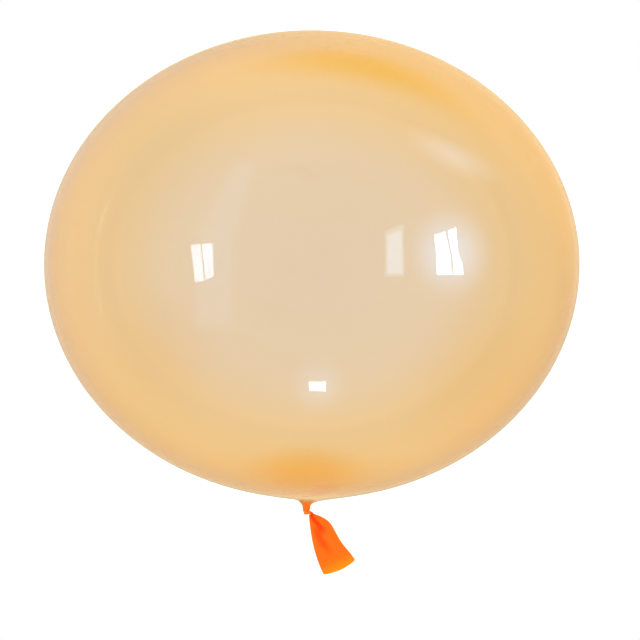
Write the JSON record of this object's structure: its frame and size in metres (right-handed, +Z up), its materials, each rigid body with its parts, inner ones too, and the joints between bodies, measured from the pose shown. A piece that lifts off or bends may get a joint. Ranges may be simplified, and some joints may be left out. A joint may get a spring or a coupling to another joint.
{
  "type": "bubble balloon",
  "caption": "Round see-through stretch-film balloon, wider than long, tied in its own neck with a flat cut tail, lying on its side.",
  "frame": {"origin": "middle of the small flat spot that the balloon lies on", "axes": "+Z up, +Y along the balloon's level axis from the neck to the crown, +X across"},
  "size_m": [0.56, 0.5712, 0.558],
  "materials": {
    "stretch_film": "clear glossy stretch film, tinted peach on the bubble and deep orange where it is gathered"
  },
  "bodies": {
    "root": {"balloon": "stretch_film"}
  },
  "joints": []
}
